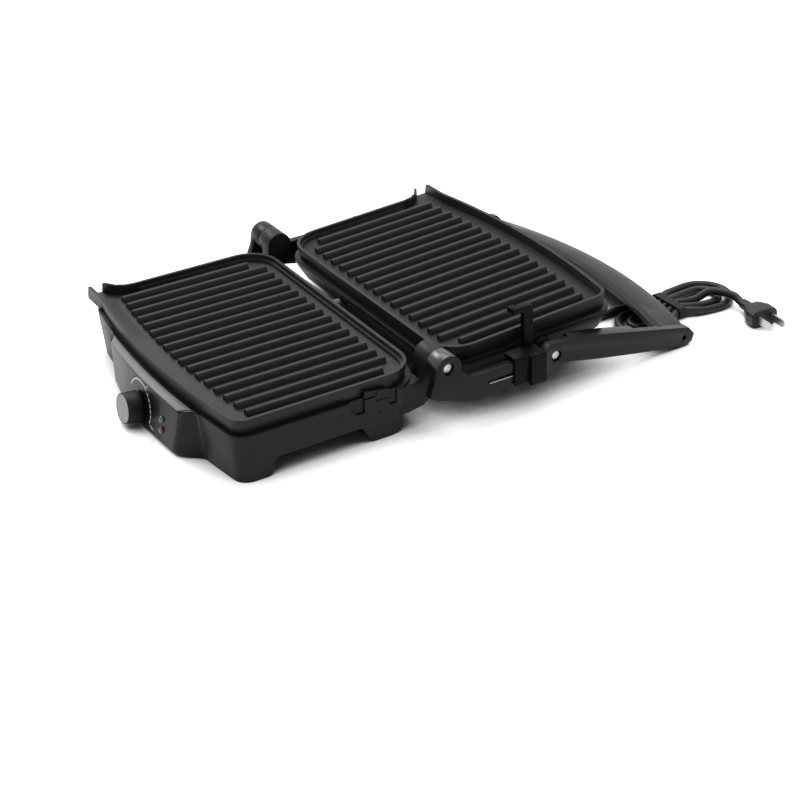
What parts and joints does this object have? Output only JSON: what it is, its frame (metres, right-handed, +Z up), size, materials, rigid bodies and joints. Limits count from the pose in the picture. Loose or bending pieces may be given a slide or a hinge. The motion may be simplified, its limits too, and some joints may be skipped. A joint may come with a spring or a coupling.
{
  "type": "contact grill",
  "caption": "Contact grill lying open, with ribbed cooking plates in a footed base and in a floating lid, side arms with a handle bar, a thermostat knob, lamps and a mains cord.",
  "frame": {"origin": "middle of the footprint of the open grill at counter level, without the cord", "axes": "+X to the user's right along the hinge, +Y from the control side to the handle, +Z up"},
  "size_m": [0.3103, 0.5101, 0.0775],
  "materials": {
    "housing": "satin moulded black",
    "panel": "satin moulded black with a printed scale",
    "coating": "dark grey non-stick coating on cast aluminium",
    "strip": "blue-grey satin strip",
    "steel": "plain steel",
    "dull": "rolled sheet",
    "cap": "spun light grey cap",
    "cord": "matt black",
    "foot": "matt black",
    "green": "translucent green",
    "red": "translucent red",
    "inner": "brown phenolic",
    "sleeve": "woven glass sleeve"
  },
  "bodies": {
    "base": {"base_housing": "housing", "base_cover": "housing", "front_panel": "panel", "trim_strip": "strip", "thermostat": "inner", "terminal_block": "sleeve", "green_lamp": "green", "red_lamp": "red", "lower_plate": "coating", "lower_element": "steel", "lower_reflector": "dull", "foot_pad_1": "foot", "foot_pad_2": "foot", "foot_pad_3": "foot", "foot_pad_4": "foot", "lead_sleeve": "sleeve", "strain_relief": "cord", "cord": "cord", "cord_hank": "cord", "cord_tie": "foot", "plug_body": "cord", "plug_blade_1": "steel", "plug_blade_2": "steel"},
    "knob": {"knob": "housing", "knob_cap": "cap"},
    "arms": {"right_arm": "housing", "left_arm": "housing", "hinge_screw_right": "steel", "hinge_screw_left": "steel", "lid_pivot_right": "steel", "lid_pivot_left": "steel", "handle_bar": "housing", "guide_rail": "steel"},
    "slider": {"height_slider": "housing"},
    "lid": {"lid_housing": "housing", "upper_plate": "coating", "upper_element": "steel", "upper_reflector": "dull"}
  },
  "joints": [
    {"name": "knob_turn", "type": "hinge", "parent": "base", "child": "knob", "pos_m": [-0.00085, -0.20831, 0.014], "axis": [0, -0.9905, 0.1373], "range_deg": [0, 270]},
    {"name": "lid_hinge", "type": "hinge", "parent": "base", "child": "arms", "pos_m": [-0.00265, -0.02764, 0.0532], "axis": [1, 0, 0], "range_deg": [0, 176.74]},
    {"name": "lid_pivot", "type": "hinge", "parent": "arms", "child": "lid", "pos_m": [-0.00265, 0.06705, 0.03506], "axis": [1, 0, 0], "range_deg": [-2, 3]},
    {"name": "slider_slide", "type": "slide", "parent": "arms", "child": "slider", "axis": [0, 1, 0], "range_m": [-0.032, 0]}
  ]
}
